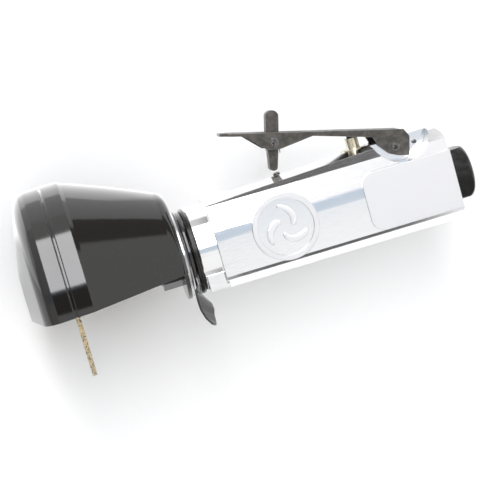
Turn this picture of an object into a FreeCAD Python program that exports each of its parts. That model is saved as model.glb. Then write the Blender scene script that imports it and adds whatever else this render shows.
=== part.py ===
import FreeCAD, Part

import math
import os
import re

import Sketcher

# Pneumatic cut-off tool, lying on its side.
# +X runs along the tool's axis and out of the air inlet, +Y points to the
# throttle lever and +Z is up. The origin is the centre of the inlet's mouth.
# Stations are distances along the axis from the disc's middle plane, and
# every piece is moved from that plane to the inlet's mouth at the end.

document = FreeCAD.newDocument("CutOffTool")
sizes = document.addObject("Spreadsheet::Sheet", "Sizes")

DRIVING_SIZES = {
    # overall
    "disc_to_inlet": 177.2,
    "running_gap": 0.05,
    # cutting disc and what holds it
    "disc_radius": 38.1,
    "disc_thickness": 2.0,
    "disc_bore": 4.8,
    "flange_radius": 12.5,
    "flange_thickness": 3.0,
    "arbor_radius": 6.0,
    "disc_screw_radius": 3.0,
    "disc_screw_head": 5.5,
    # guard
    "disc_clearance": 4.3,
    "guard_wall": 1.6,
    "rim_depth": 10.5,
    "dome_depth": 18.5,
    "band_length": 8.7,
    "bell_length": 48.2,
    "bell_end_radius": 28.5,
    "bell_bulge_radius": 500.0,
    "guard_cut_front": 7.6,
    "guard_cut_rear": 5.0,
    "seam_gap": 0.9,
    "lip_length": 3.0,
    # nose that carries the guard
    "nose_radius": 10.4,
    "nose_bore": 8.0,
    "plate_radius": 18.4,
    "plate_thickness": 1.0,
    "plate_gap": 0.5,
    "guard_nut_wall": 2.5,
    "guard_nut_length": 8.5,
    "stop_reach": 34.4,
    "stop_half_width": 8.5,
    "stop_twist": 28.0,
    "stop_side_turn": 30.0,
    "lock_ring_length": 2.0,
    # housing
    "housing_front": 54.6,
    "collar_wall": 3.6,
    "collar_length": 8.5,
    "housing_rear": 167.3,
    "side_half_width": 19.0,
    "side_low": 12.2,
    "side_high": 3.0,
    "side_step": 1.5,
    "side_step_inset": 1.1,
    "bottom_wall": 2.4,
    "bottom_half_width": 12.5,
    "shoulder_rise": 17.6,
    "shoulder_half_width": 16.0,
    "bevel_front": 0.7,
    "bevel_rear": 4.8,
    "top_half_width": 5.0,
    "top_front": 20.1,
    "top_rear": 23.6,
    "pad_start": 127.8,
    "pad_corner": 5.5,
    "rear_corner": 6.0,
    "pad_rise": 12.8,
    "pad_proud": 0.4,
    "badge_station": 92.5,
    "badge_rise": 1.1,
    "badge_radius": 14.0,
    "badge_proud": 0.6,
    "badge_ring_width": 2.1,
    "collar_pad_low": 16.6,
    "collar_pad_high": 9.8,
    "collar_pad_half_width": 15.9,
    # air motor
    "motor_bore": 15.0,
    "rotor_clearance": 0.2,
    "rotor_length": 42.0,
    "liner_wall": 1.8,
    "liner_offset": 0.8,
    "vane_thickness": 1.6,
    "vane_depth": 5.6,
    "front_journal": 5.0,
    "rear_journal": 4.0,
    "end_wall": 4.0,
    "front_bearing_width": 6.0,
    "front_bearing_wall": 4.0,
    "rear_bearing_width": 5.0,
    "rear_bearing_wall": 5.5,
    "dowel_radius": 0.8,
    "feed_radius": 1.6,
    "exhaust_radius": 2.2,
    "exhaust_pitch": 9.0,
    # air inlet
    "inlet_thread_radius": 5.7,
    "inlet_thread_length": 14.0,
    "bushing_shoulder": 3.4,
    "shank_radius": 9.0,
    "shank_length": 13.0,
    "air_way_radius": 4.5,
    # valve
    "valve_station": 131.8,
    "bush_radius": 4.0,
    "bush_flange_width": 1.6,
    "bush_flange_thickness": 1.0,
    "bush_top": 22.6,
    "bush_bottom": 8.0,
    "plunger_radius": 2.75,
    "plunger_top": 27.2,
    "button_radius": 1.7,
    "button_top": 29.2,
    "stem_radius": 1.2,
    "valve_head_radius": 3.2,
    "valve_chamber_depth": 9.0,
    # throttle lever
    "lever_pivot_station": 147.6,
    "lever_pivot_rise": 18.9,
    "lever_tilt": 14.4,
    "lever_length": 73.9,
    "lever_side_gap": 0.6,
    "lever_sheet": 1.2,
    "lever_top": 7.5,
    "lever_pin_radius": 1.75,
    "lever_pin_proud": 0.4,
    "stop_pin_radius": 0.8,
    "stop_pin_offset": 8.6,
    "scallop_radius": 12.8,
    "scallop_station": 149.7,
    "scallop_rise": 25.5,
    "tongue_half_width": 7.2,
    # lock-off lever
    "lock_reach": 49.3,
    "lock_rise": 16.2,
    "lock_lean": 14.4,
    "lock_leg": 12.5,
    "lock_tab": 12.9,
    "lock_half_width": 2.75,
    "lock_half_depth": 2.6,
    "lock_pin_radius": 1.9,
    "stud_radius": 1.5,
    "stud_proud": 0.75,
    "stud_seat": 3.0,
    "stud_offset": 1.2,
    "lock_spring_wire": 0.3,
    "lock_spring_leg": 5.2,
}

# Sizes that follow from the driving sizes
DERIVED_SIZES = {
    "guard_radius": "disc_radius + disc_clearance + guard_wall",
    "guard_nut_radius": "nose_radius + guard_nut_wall",
    "collar_radius": "motor_bore + collar_wall",
    "bottom_depth": "motor_bore + bottom_wall",
    "liner_bore": "motor_bore - liner_wall",
    "rotor_radius": "motor_bore - liner_wall - liner_offset - rotor_clearance",
    "front_bearing_radius": "motor_bore - front_bearing_wall",
    "rear_bearing_radius": "motor_bore - rear_bearing_wall",
    "feed_rise": "motor_bore - rear_bearing_wall / 2",
    "bushing_corner_radius": "shank_radius + bushing_shoulder",
    "bush_flange_radius": "bush_radius + bush_flange_width",
    "lever_half_width": "tongue_half_width + lever_side_gap + lever_sheet",
}

ROWS = [(alias, str(number)) for alias, number in DRIVING_SIZES.items()]
ROWS += [(alias, "=" + formula) for alias, formula in DERIVED_SIZES.items()]
for row, (alias, content) in enumerate(ROWS, start=1):
    sizes.set("A" + str(row), alias)
    sizes.set("B" + str(row), content)
    sizes.setAlias("B" + str(row), alias)
document.recompute()

nodes = {}


def sheet_expression(text):
    """Put the sheet's name before each of its aliases in an expression."""
    def with_sheet(match):
        word = match.group()
        known = word in DRIVING_SIZES or word in DERIVED_SIZES
        return "Sizes." + word if known else word
    return re.sub(r"[A-Za-z_]\w*", with_sheet, str(text))


def number_of(text):
    """The present value of an expression in the sheet's aliases."""
    result = sizes.evalExpression(sheet_expression(text))
    return float(getattr(result, "Value", result))


def bind(item, **expressions):
    """Bind properties to expressions; a double underscore stands for a dot."""
    for name, text in expressions.items():
        item.setExpression(name.replace("__", "."), sheet_expression(text))


def move(item, x="0", y="0", z="0"):
    """Bind the place of an object."""
    bind(item, Placement__Base__x=x, Placement__Base__y=y, Placement__Base__z=z)


def origin_plane(body, role):
    """The origin plane of a body with the given role."""
    for feature in body.Origin.OriginFeatures:
        if feature.Role == role:
            return feature
    raise ValueError(role)


def new_body(label):
    """An empty body with a label."""
    body = document.addObject("PartDesign::Body", label)
    body.Label = label
    return body


def new_sketch(body, role, offset="0"):
    """A sketch on an origin plane of the body, moved along its normal."""
    sketch = body.newObject("Sketcher::SketchObject", body.Name + "_sketch")
    sketch.AttachmentSupport = (origin_plane(body, role), [""])
    sketch.MapMode = "FlatFace"
    bind(sketch, AttachmentOffset__Base__z=offset)
    return sketch


def arc_between(start, end, radius, side):
    """The arc with this radius from start to end; side 1 has its centre on the left."""
    chord = end - start
    half = chord.Length / 2
    rise = math.sqrt(max(radius ** 2 - half ** 2, 0))
    left = FreeCAD.Vector(-chord.y, chord.x, 0).normalize()
    centre = (start + end) / 2 + left * rise * side
    circle = Part.Circle(centre, FreeCAD.Vector(0, 0, 1), radius)
    first, last = (start, end) if side > 0 else (end, start)
    from_angle = math.atan2(first.y - centre.y, first.x - centre.x)
    to_angle = math.atan2(last.y - centre.y, last.x - centre.x)
    return Part.ArcOfCircle(circle, from_angle, to_angle)


def draw_outline(sketch, points):
    """A closed outline whose corners and arc radii are bound to the sheet.

    A point is (x, y), or (x, y, radius, side) when an arc leads from it to
    the next point.
    """
    corners = [FreeCAD.Vector(number_of(p[0]), number_of(p[1]), 0) for p in points]
    ends = []
    for index, point in enumerate(points):
        start = corners[index]
        end = corners[(index + 1) % len(points)]
        if len(point) == 2:
            edge = sketch.addGeometry(Part.LineSegment(start, end), False)
            ends.append((edge, 1, 2))
        else:
            arc = arc_between(start, end, number_of(point[2]), point[3])
            edge = sketch.addGeometry(arc, False)
            ends.append((edge, 1, 2) if point[3] > 0 else (edge, 2, 1))
    for index, point in enumerate(points):
        edge, first, _ = ends[index]
        before, _, last = ends[index - 1]
        sketch.addConstraint(Sketcher.Constraint("Coincident", before, last, edge, first))
        for kind, text, coordinate in (("DistanceX", point[0], corners[index].x),
                                       ("DistanceY", point[1], corners[index].y)):
            place = sketch.addConstraint(
                Sketcher.Constraint(kind, -1, 1, edge, first, coordinate))
            sketch.setExpression("Constraints[" + str(place) + "]", sheet_expression(text))
        if len(point) == 4:
            place = sketch.addConstraint(
                Sketcher.Constraint("Radius", edge, number_of(point[2])))
            sketch.setExpression("Constraints[" + str(place) + "]", sheet_expression(point[2]))


def turned(label, points):
    """A piece turned about the tool's axis from (station, radius) points."""
    body = new_body(label)
    sketch = new_sketch(body, "XY_Plane")
    draw_outline(sketch, points)
    feature = body.newObject("PartDesign::Revolution", label + "_turning")
    feature.Profile = sketch
    feature.ReferenceAxis = (sketch, ["H_Axis"])
    feature.Angle = 360
    return body


def ring(label, inner, outer, start, length):
    """A plain turned ring."""
    end = "(" + start + ") + (" + length + ")"
    return turned(label, [(start, inner), (end, inner), (end, outer), (start, outer)])


def padded(label, role, points, depth, offset="0"):
    """A flat outline padded evenly to both sides of its plane."""
    body = new_body(label)
    sketch = new_sketch(body, role, offset)
    draw_outline(sketch, points)
    feature = body.newObject("PartDesign::Pad", label + "_pad")
    feature.Profile = sketch
    feature.SideType = "Symmetric"
    bind(feature, Length=depth)
    return body


AXIS_TURNS = {
    "X": FreeCAD.Rotation(FreeCAD.Vector(0, 1, 0), 90),
    "Y": FreeCAD.Rotation(FreeCAD.Vector(1, 0, 0), -90),
    "Z": FreeCAD.Rotation(),
}


def rod(label, axis, radius, length, x="0", y="0", z="0"):
    """A cylinder that starts at x, y, z and runs along the axis."""
    item = document.addObject("Part::Cylinder", label)
    item.Label = label
    item.Placement = FreeCAD.Placement(FreeCAD.Vector(), AXIS_TURNS[axis])
    bind(item, Radius=radius, Height=length)
    move(item, x, y, z)
    return item


def block(label, length, width, height, x, y, z):
    """A box from its lowest corner."""
    item = document.addObject("Part::Box", label)
    item.Label = label
    bind(item, Length=length, Width=width, Height=height)
    move(item, x, y, z)
    return item


def joined(label, *items):
    """One solid from several that overlap."""
    item = document.addObject("Part::MultiFuse", label)
    item.Label = label
    item.Shapes = list(items)
    return item


def cut(label, base, *tools):
    """A base with the tools taken away."""
    item = document.addObject("Part::Cut", label)
    item.Label = label
    item.Base = base
    item.Tool = tools[0] if len(tools) == 1 else joined(label + "_tools", *tools)
    return item


def common(label, first, second):
    """What two solids share."""
    item = document.addObject("Part::Common", label)
    item.Label = label
    item.Base = first
    item.Tool = second
    return item


def group(label, items):
    """Separate like solids that share one node."""
    item = document.addObject("Part::Compound", label)
    item.Label = label
    item.Links = items
    return item


def keep(name, item, x="0", y="0", z="0", turn="0"):
    """File a finished piece, turned about Z and moved to count from the inlet's mouth."""
    item.Label = name
    if turn != "0":
        item.Placement = FreeCAD.Placement(
            FreeCAD.Vector(), FreeCAD.Rotation(FreeCAD.Vector(0, 0, 1), 1))
        bind(item, Placement__Rotation__Angle=turn)
    move(item, "(" + x + ") - disc_to_inlet", y, z)
    nodes[name] = item


# Stations that follow from the driving sizes
ARBOR_START = "disc_thickness / 2 + flange_thickness"
PLATE_START = "bell_length + 0.1"
STOP_START = PLATE_START + " + 2 * plate_thickness + plate_gap + 0.1"
LOCK_RING_START = "housing_front - lock_ring_length"
NUT_START = "bell_length - guard_wall - 0.1 - guard_nut_length"
FRONT_PLATE_START = "housing_front + 4"
ROTOR_START = FRONT_PLATE_START + " + front_bearing_width + end_wall + 0.6"
LINER_START = ROTOR_START + " - 0.1"
LINER_LENGTH = "rotor_length + 0.2"
REAR_PLATE_START = LINER_START + " + " + LINER_LENGTH
REAR_BEARING_START = REAR_PLATE_START + " + end_wall"
MOTOR_END = REAR_BEARING_START + " + rear_bearing_width"
SHANK_START = "housing_rear - shank_length"


def top_at(station):
    """Height of the housing's top at a station."""
    return ("(top_front + (top_rear - top_front) * ((" + station + ") - housing_front"
            " - collar_length) / (housing_rear - housing_front - collar_length))")


def make_disc_stack():
    """The disc, its two flanges, its screw and the arbor they sit on."""
    half = "disc_thickness / 2"
    keep("cutting_disc", ring("disc", "disc_bore", "disc_radius", "-" + half, "disc_thickness"))
    keep("inner_flange", turned("inner_flange_blank", [
        (half, "disc_screw_radius"),
        (half, "flange_radius"),
        (half + " + flange_thickness * 0.5", "flange_radius"),
        (ARBOR_START, "flange_radius - 3"),
        (ARBOR_START, "disc_screw_radius")]))
    keep("outer_flange", turned("outer_flange_blank", [
        ("-" + half + " - flange_thickness", "disc_screw_radius"),
        ("-" + half + " - flange_thickness", "flange_radius - 3"),
        ("-" + half + " - flange_thickness * 0.5", "flange_radius"),
        ("-" + half, "flange_radius"),
        ("-" + half, "disc_bore"),
        ("0", "disc_bore"),
        ("0", "disc_screw_radius")]))
    head_front = "-" + half + " - flange_thickness - disc_screw_radius"
    screw = turned("disc_screw_blank", [
        (head_front, "0"),
        (head_front, "disc_screw_head - 0.6"),
        (head_front + " + 0.6", "disc_screw_head"),
        ("-" + half + " - flange_thickness", "disc_screw_head"),
        ("-" + half + " - flange_thickness", "disc_screw_radius"),
        (ARBOR_START + " + 12", "disc_screw_radius"),
        (ARBOR_START + " + 12", "0")])
    socket = document.addObject("Part::Prism", "disc_screw_socket")
    socket.Polygon = 6
    socket.Placement = FreeCAD.Placement(FreeCAD.Vector(), AXIS_TURNS["X"])
    bind(socket, Circumradius="disc_screw_radius * 0.96", Height="disc_screw_radius")
    move(socket, head_front + " - 0.5")
    keep("disc_screw", cut("disc_screw_cut", screw, socket))
    arbor_end = "housing_front + 0.5"
    arbor = turned("arbor_blank", [
        (ARBOR_START, "disc_screw_radius"),
        (ARBOR_START, "arbor_radius + 2"),
        (ARBOR_START + " + 5", "arbor_radius + 2"),
        (ARBOR_START + " + 5", "arbor_radius"),
        (arbor_end, "arbor_radius"),
        (arbor_end, "rear_journal"),
        (arbor_end + " - 12", "rear_journal"),
        (arbor_end + " - 12", "0"),
        (ARBOR_START + " + 14", "0"),
        (ARBOR_START + " + 14", "disc_screw_radius")])
    flats = [block("arbor_flat_" + name, "5", "20", "5", ARBOR_START, "-10", low)
             for name, low in (("near", "arbor_radius + 0.6"), ("far", "-arbor_radius - 5.6"))]
    keep("arbor", cut("arbor_cut", arbor, *flats))


def make_guard():
    """The two guard shells, open below the cut plane."""
    outer_end = "bell_length - 4"
    inner_radius = "bell_bulge_radius - guard_wall"
    rear = turned("rear_shell_blank", [
        ("0.1", "guard_radius - guard_wall"),
        ("0.1", "guard_radius - 0.2"),
        ("0.4", "guard_radius"),
        ("band_length - 1.6", "guard_radius"),
        ("band_length", "guard_radius - 0.9", "bell_bulge_radius", -1),
        (outer_end, "bell_end_radius", "4.8", -1),
        ("bell_length", "bell_end_radius - 5"),
        ("bell_length", "nose_radius + running_gap * 2"),
        ("bell_length - guard_wall", "nose_radius + running_gap * 2"),
        ("bell_length - guard_wall", "bell_end_radius - 5.6"),
        (outer_end + " - 0.6", "bell_end_radius - guard_wall + 0.1", inner_radius, 1),
        ("band_length - 0.4", "guard_radius - guard_wall - 0.7"),
        ("band_length - 2", "guard_radius - guard_wall")])
    shell = cut("rear_shell_cut", rear, guard_opening_block("rear_opening"))
    hub = ring("rear_shell_hub", "nose_radius + running_gap * 2", "plate_radius + 0.6",
               "bell_length - guard_wall", "guard_wall")
    keep("guard_rear_shell", joined("rear_shell", shell, hub))
    lip = "guard_radius - guard_wall - 0.05"
    cover_edge = "-seam_gap"
    cover = turned("front_cover_blank", [
        ("-dome_depth", "0"),
        ("-dome_depth", "12"),
        ("-rim_depth - 3.4", "guard_radius - 8", "11", -1),
        ("-rim_depth + 0.6", "guard_radius - 1"),
        ("-rim_depth + 3", "guard_radius - 0.2"),
        (cover_edge + " - 0.3", "guard_radius"),
        (cover_edge, "guard_radius - 0.2"),
        (cover_edge, lip),
        ("lip_length", lip),
        ("lip_length", lip + " - guard_wall * 0.6"),
        (cover_edge + " - 1", lip + " - guard_wall * 0.6"),
        ("-rim_depth + 1.4", "guard_radius - guard_wall - 1.2"),
        ("-rim_depth - 1.9", "guard_radius - 8.7"),
        ("-dome_depth + guard_wall", "11.5"),
        ("-dome_depth + guard_wall", "0")])
    keep("guard_front_cover",
         cut("front_cover_cut", cover, guard_opening_block("front_opening")))


def guard_opening_block(label):
    """The block that opens the guard below its sloping cut."""
    ahead = "-dome_depth - 10"
    rear = "bell_length + 1"
    return padded(label, "XY_Plane", [
        (ahead, "-guard_cut_front"),
        (ahead, "-guard_radius - 10"),
        (rear, "-guard_radius - 10"),
        (rear, "-guard_cut_rear"),
        ("-dome_depth", "-guard_cut_front")], "2 * guard_radius + 20")


def make_nose():
    """What stands between the guard and the housing."""
    keep("front_lock_ring", turned("lock_ring_blank", [
        (NUT_START + " - 0.8", "nose_bore"),
        (NUT_START + " - 0.8", "nose_radius"),
        (LOCK_RING_START, "nose_radius"),
        (LOCK_RING_START, "plate_radius - 0.5"),
        (LOCK_RING_START + " + 0.5", "plate_radius"),
        ("housing_front - 0.5", "plate_radius"),
        ("housing_front", "plate_radius - 0.5"),
        ("housing_front", "motor_bore"),
        (FRONT_PLATE_START, "motor_bore"),
        (FRONT_PLATE_START, "nose_bore")]))
    nut = document.addObject("Part::Prism", "guard_nut_blank")
    nut.Polygon = 8
    nut.Placement = FreeCAD.Placement(FreeCAD.Vector(), AXIS_TURNS["X"])
    bind(nut, Circumradius="guard_nut_radius", Height="guard_nut_length")
    move(nut, NUT_START)
    keep("guard_nut", cut("guard_nut_cut", nut,
                          rod("guard_nut_bore", "X", "nose_radius", "20", NUT_START + " - 5")))
    keep("friction_washer", ring("friction_washer_blank", "nose_radius", "plate_radius",
                                 PLATE_START, "plate_thickness"))
    second = PLATE_START + " + plate_thickness + plate_gap"
    keep("spring_washer", turned("spring_washer_blank", [
        (second, "nose_radius"),
        (second, "nose_radius + 2"),
        (second + " - plate_gap", "plate_radius - 0.6"),
        (second + " - plate_gap + plate_thickness", "plate_radius"),
        (second + " + plate_thickness", "nose_radius + 2"),
        (second + " + plate_thickness", "nose_radius")]))
    make_finger_stop()


def make_finger_stop():
    """A plate behind the guard with a twisted tongue that stands below the tool's near side."""
    middle = STOP_START + " + plate_thickness / 2"
    hub = ring("finger_stop_hub", "nose_radius", "plate_radius - 0.8", STOP_START,
               "plate_thickness")
    body = new_body("finger_stop_tongue")
    sections = [
        stop_section(body, "plate_radius - 4", middle, "stop_half_width", "0"),
        stop_section(body, "plate_radius + 0.1", middle, "stop_half_width - 0.5", "0"),
        stop_section(body, "plate_radius + 1.8", middle + " + 0.4", "stop_half_width - 0.9",
                     "stop_twist * 0.6"),
        stop_section(body, "plate_radius + 4.1", middle + " + 0.7", "stop_half_width - 1.5",
                     "stop_twist * 0.85"),
        stop_section(body, "plate_radius + 7.1", middle + " + 0.7", "stop_half_width - 2.2",
                     "stop_twist"),
        stop_section(body, "stop_reach - 6", middle + " + 0.4", "stop_half_width - 3.2",
                     "stop_twist"),
        stop_section(body, "stop_reach - 2.2", middle + " + 0.8", "stop_half_width - 4.7",
                     "stop_twist"),
        stop_section(body, "stop_reach", middle + " + 1.5", "stop_half_width - 7.3",
                     "stop_twist")]
    loft = body.newObject("PartDesign::AdditiveLoft", "finger_stop_loft")
    loft.Profile = sections[0]
    loft.Sections = sections[1:]
    loft.Ruled = True
    body.Placement = FreeCAD.Placement(
        FreeCAD.Vector(), FreeCAD.Rotation(FreeCAD.Vector(1, 0, 0), -1))
    bind(body, Placement__Rotation__Angle="-stop_side_turn")
    keep("finger_stop", joined("finger_stop_plate", hub, body))


def stop_section(body, depth, station, half_width, twist):
    """A thin rectangle across the tongue at a depth below the axis, turned about Y."""
    sketch = new_sketch(body, "XZ_Plane", depth)
    corners = []
    for along, across in (("-1", "-1"), ("1", "-1"), ("1", "1"), ("-1", "1")):
        width = "(" + half_width + ") * (" + across + ")"
        thickness = "plate_thickness * 0.45 * (" + along + ")"
        angle = "(" + twist + ") * 1deg"
        corners.append((
            station + " + " + thickness + " * cos(" + angle + ") - " + width + " * sin(" + angle + ")",
            width + " * cos(" + angle + ") + " + thickness + " * sin(" + angle + ")"))
    draw_outline(sketch, corners)
    return sketch


def housing_section(body, station, top, bevel):
    """One cross-section of the housing's barrel.

    Each flat side ends in a small step below and a round shoulder above, and a
    bevel between the shoulder and the crown grows towards the rear.
    """
    sketch = new_sketch(body, "YZ_Plane", station)
    rise = "(shoulder_rise - side_high)"
    inset = "(side_half_width - shoulder_half_width)"
    shoulder = "(" + inset + " ^ 2 + " + rise + " ^ 2) / (2 * " + inset + ")"
    bevel_rise = "shoulder_rise + " + bevel
    bevel_width = "(shoulder_half_width - " + bevel + " * 0.85)"
    draw_outline(sketch, [
        ("-bottom_depth", "bottom_half_width"),
        ("-bottom_depth", "-bottom_half_width"),
        ("-side_low - side_step", "-side_half_width + side_step_inset"),
        ("-side_low", "-side_half_width"),
        ("side_high", "-side_half_width", shoulder, 1),
        ("shoulder_rise", "-shoulder_half_width"),
        (bevel_rise, "-" + bevel_width),
        (top, "-top_half_width"),
        (top, "top_half_width"),
        (bevel_rise, bevel_width),
        ("shoulder_rise", "shoulder_half_width", shoulder, 1),
        ("side_high", "side_half_width"),
        ("-side_low", "side_half_width"),
        ("-side_low - side_step", "side_half_width - side_step_inset")])
    return sketch


def make_housing():
    """The aluminium body with its bores, scallops, pads and badge boss."""
    barrel_start = "housing_front + collar_length"
    body = new_body("housing_barrel")
    front = housing_section(body, barrel_start, "top_front", "bevel_front")
    rear = housing_section(body, "housing_rear", "top_rear", "bevel_rear")
    loft = body.newObject("PartDesign::AdditiveLoft", "housing_loft")
    loft.Profile = front
    loft.Sections = [rear]
    loft.Ruled = True
    collar = turned("housing_collar", [
        ("housing_front", "0"),
        ("housing_front", "collar_radius - 0.6"),
        ("housing_front + 0.6", "collar_radius"),
        (barrel_start + " + 3", "collar_radius"),
        (barrel_start + " + 3", "0")])
    pads = padded("side_pads", "XY_Plane", [
        ("pad_start", "-side_low + pad_corner", "pad_corner", 1),
        ("pad_start + pad_corner", "-side_low"),
        ("housing_rear", "-side_low"),
        ("housing_rear", "pad_rise"),
        ("pad_start + pad_corner", "pad_rise", "pad_corner", 1),
        ("pad_start", "pad_rise - pad_corner")],
        "2 * (side_half_width + pad_proud)")
    corner = block("collar_pad", "collar_length", "collar_pad_low - collar_pad_high", "8",
                   "housing_front + 1", "-collar_pad_low", "collar_pad_half_width - 8")
    badge = rod("badge_boss", "Z", "badge_radius", "badge_proud + 3", "badge_station", "badge_rise",
                "side_half_width - 3")
    recess = rod("badge_recess", "Z", "badge_radius - badge_ring_width", "5", "badge_station",
                 "badge_rise", "side_half_width")
    outline = padded("housing_side_view", "XY_Plane", [
        ("housing_front - 1", "-40"),
        ("housing_rear - rear_corner * 0.5", "-40"),
        ("housing_rear - rear_corner * 0.5", "-bottom_depth", "rear_corner * 0.5", 1),
        ("housing_rear", "-bottom_depth + rear_corner * 0.5"),
        ("housing_rear", "top_rear - rear_corner", "rear_corner", 1),
        ("housing_rear - rear_corner", "top_rear"),
        ("housing_rear - rear_corner", "40"),
        ("housing_front - 1", "40")], "120")
    solid = common("housing_solid", joined("housing_mass", body, collar, pads, corner, badge),
                   outline)
    tools = [recess]
    tools.append(rod("motor_room", "X", "motor_bore", MOTOR_END + " - housing_front + 5",
                     "housing_front - 5"))
    tools.append(rod("inlet_room", "X", "shank_radius", "shank_length + 5", SHANK_START))
    tools.append(rod("air_way", "X", "air_way_radius", SHANK_START + " - valve_station",
                     "valve_station"))
    tools.append(rod("valve_room", "Y", "bush_radius", "40 + valve_chamber_depth",
                     "valve_station", "-valve_chamber_depth"))
    tools.append(rod("bush_seat", "Y", "bush_flange_radius + 0.2", "10",
                     "valve_station", "bush_top - bush_flange_thickness"))
    tools.append(rod("motor_feed", "X", "feed_radius", "valve_station - (" + MOTOR_END + ") + 1",
                     MOTOR_END + " - 1", "feed_rise"))
    for side, start in (("near", "tongue_half_width"), ("far", "-tongue_half_width - 20")):
        tools.append(rod("scallop_" + side, "Z", "scallop_radius", "20",
                         "scallop_station", "scallop_rise", start))
    tools.append(rod("lever_pin_hole", "Z", "lever_pin_radius", "40",
                     "lever_pivot_station", "lever_pivot_rise", "-20"))
    tools.append(rod("stop_pin_hole", "Z", "stop_pin_radius", "40",
                     "lever_pivot_station + stop_pin_offset", "lever_pivot_rise", "-20"))
    tools.append(rod("stud_hole", "Y", "stud_radius", "10", stud_station(),
                     top_at(stud_station()) + " - stud_seat"))
    tools.extend(exhaust_holes("housing", "bottom_depth"))
    keep("motor_housing", cut("motor_housing_cut", solid, *tools))


def exhaust_holes(label, depth):
    """Three holes in a row below the motor."""
    return [rod(label + "_exhaust_" + str(index), "Y", "exhaust_radius", depth,
                ROTOR_START + " + rotor_length / 2 + exhaust_pitch * (" + str(index) + " - 1)",
                "-(" + depth + ") - 1")
            for index in range(3)]


def stud_station():
    """The stud stands a little in front of the tip of the lock-off lever."""
    return "lever_pivot_station - lock_reach - stud_offset"


def make_motor():
    """Rotor, vanes, liner, end plates and their two ball bearings."""
    rotor = turned("rotor_blank", [
        ("housing_front - 10", "0"),
        ("housing_front - 10", "rear_journal"),
        ("housing_front + 0.6", "rear_journal"),
        ("housing_front + 0.6", "front_journal"),
        (ROTOR_START, "front_journal"),
        (ROTOR_START, "rotor_radius"),
        (ROTOR_START + " + rotor_length", "rotor_radius"),
        (ROTOR_START + " + rotor_length", "rear_journal"),
        (MOTOR_END + " - 0.2", "rear_journal"),
        (MOTOR_END + " - 0.2", "0")])
    angles = [90 + 72 * index for index in range(5)]
    slots = [radial_block("slot", angle, "vane_depth", "vane_thickness") for angle in angles]
    keep("rotor", cut("rotor_cut", rotor, *slots))
    vanes = [radial_block("vane", angle, "vane_depth - 0.1", "vane_thickness - 0.1")
             for angle in angles]
    keep("rotor_vanes", group("vanes", vanes))
    liner = rod("liner_blank", "X", "motor_bore", LINER_LENGTH, LINER_START)
    pin = "liner_bore - liner_offset + (motor_bore + liner_offset - liner_bore) / 2"
    liner_tools = [rod("liner_room", "X", "liner_bore", "rotor_length + 10",
                       ROTOR_START + " - 5", "-liner_offset")]
    liner_tools.append(rod("liner_pin_hole", "X", "dowel_radius", "10",
                           REAR_PLATE_START + " - 3", pin))
    liner_tools.extend(exhaust_holes("liner", "motor_bore"))
    keep("cylinder_liner", cut("liner_cut", liner, *liner_tools))
    keep("liner_pin", rod("pin", "X", "dowel_radius", "5.5"), REAR_PLATE_START + " - 3", pin)
    keep("front_end_plate", turned("front_plate_blank", [
        (FRONT_PLATE_START, "front_bearing_radius"),
        (FRONT_PLATE_START, "motor_bore"),
        (LINER_START, "motor_bore"),
        (LINER_START, "front_journal + 0.1"),
        (LINER_START + " - end_wall", "front_journal + 0.1"),
        (LINER_START + " - end_wall", "front_bearing_radius")]))
    rear = turned("rear_plate_blank", [
        (REAR_PLATE_START, "rear_journal + 0.1"),
        (REAR_PLATE_START, "motor_bore"),
        (MOTOR_END, "motor_bore"),
        (MOTOR_END, "rear_bearing_radius"),
        (REAR_BEARING_START, "rear_bearing_radius"),
        (REAR_BEARING_START, "rear_journal + 0.1")])
    keep("rear_end_plate", cut("rear_plate_cut", rear,
                               rod("rear_plate_pin_hole", "X", "dowel_radius", "2.5",
                                   REAR_PLATE_START, pin),
                               rod("rear_plate_feed", "X", "feed_radius", "30",
                                   REAR_PLATE_START + " - 5", "feed_rise")))
    make_bearing("front_bearing", FRONT_PLATE_START + " + 0.1", "front_bearing_width - 0.2",
                 "front_bearing_radius", "front_journal", 9)
    make_bearing("rear_bearing", REAR_BEARING_START + " + 0.1", "rear_bearing_width - 0.2",
                 "rear_bearing_radius", "rear_journal", 9)


def radial_block(label, angle, depth, thickness):
    """A flat block that stands out from the axis at an angle, up to the rotor's skin."""
    item = document.addObject("Part::Box", label + "_" + str(angle))
    item.Placement = FreeCAD.Placement(
        FreeCAD.Vector(), FreeCAD.Rotation(FreeCAD.Vector(1, 0, 0), angle))
    bind(item, Length="rotor_length", Width=depth, Height=thickness)
    cosine = "(" + str(round(math.cos(math.radians(angle)), 9)) + ")"
    sine = "(" + str(round(math.sin(math.radians(angle)), 9)) + ")"
    low = "(rotor_radius - vane_depth)"
    half = "((" + thickness + ") / 2)"
    move(item, ROTOR_START, low + " * " + cosine + " + " + half + " * " + sine,
         low + " * " + sine + " - " + half + " * " + cosine)
    return item


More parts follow.
